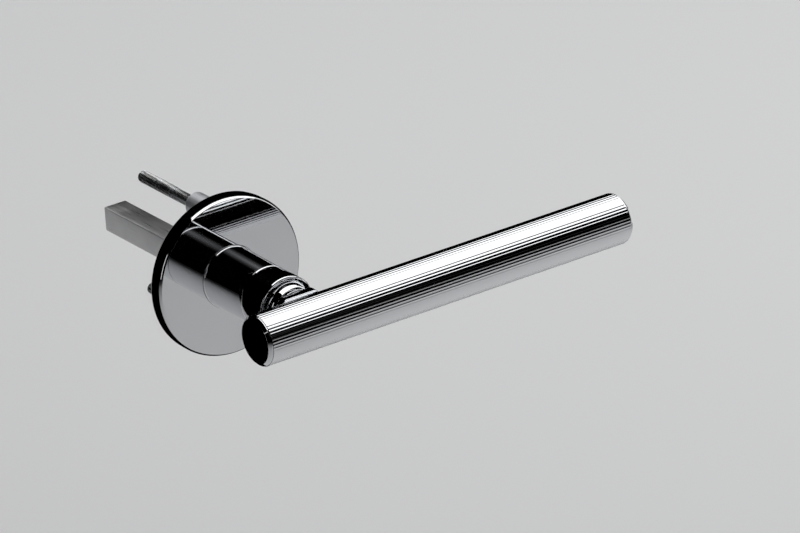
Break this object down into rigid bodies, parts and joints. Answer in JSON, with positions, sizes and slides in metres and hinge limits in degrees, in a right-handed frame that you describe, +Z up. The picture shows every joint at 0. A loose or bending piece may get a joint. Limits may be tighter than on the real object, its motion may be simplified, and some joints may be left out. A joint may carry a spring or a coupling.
{
  "type": "door lever handle",
  "caption": "Door lever handle: a fluted round grip bar on a turned neck and a slim round sprung rose, with its square spindle and fixing bolts.",
  "frame": {"origin": "where the spindle's axis meets the face of the door, in the plane of the rose's back", "axes": "+Y along the spindle into the door, -Y out towards the hand; +X along the grip bar towards its free end; +Z up"},
  "size_m": [0.1406, 0.1187, 0.052],
  "materials": {
    "chrome": "mirror polished chrome",
    "bar_chrome": "polished chrome over fine lengthwise flutes",
    "cap_chrome": "polished chrome, faced flat",
    "zinc": "die-cast, matt",
    "steel": "turned steel",
    "bright_bolt": "zinc-plated screw steel",
    "spindle_steel": "drawn square bar",
    "spring_steel": "tempered spring strip",
    "blackened": "black oxide",
    "polymer": "natural acetal"
  },
  "bodies": {
    "rose": {"base_plate": "zinc", "rose_cover": "chrome", "snap_ring": "spring_steel", "bearing_bush": "polymer", "thrust_washer": "steel", "return_spring": "spring_steel", "rest_stop_pin": "steel", "travel_stop_pin": "steel", "spring_anchor_pin": "steel", "support_sleeve_upper": "zinc", "support_sleeve_lower": "zinc", "fixing_bolt_upper": "bright_bolt", "fixing_bolt_lower": "bright_bolt"},
    "lever": {"neck_sleeve": "chrome", "neck_head": "chrome", "stem_collar": "chrome", "saddle_block": "chrome", "grip_bar": "bar_chrome", "end_cap_left": "cap_chrome", "end_cap_right": "cap_chrome", "clamp_block": "zinc", "spindle_hub": "steel", "driver_ring": "steel", "drive_dowel_left": "steel", "drive_dowel_right": "steel", "bar_dowel": "steel", "spindle": "spindle_steel", "retaining_circlip": "blackened", "grub_screw": "blackened", "stem_bolt": "blackened"}
  },
  "joints": [
    {"name": "lever_turn", "type": "hinge", "parent": "rose", "child": "lever", "pos_m": [0, 0, 0], "axis": [0, 1, 0], "range_deg": [0, 40], "stiffness_Nm_per_rad": 1.2, "springref_deg": -28.65, "deforming": ["return_spring"]}
  ]
}
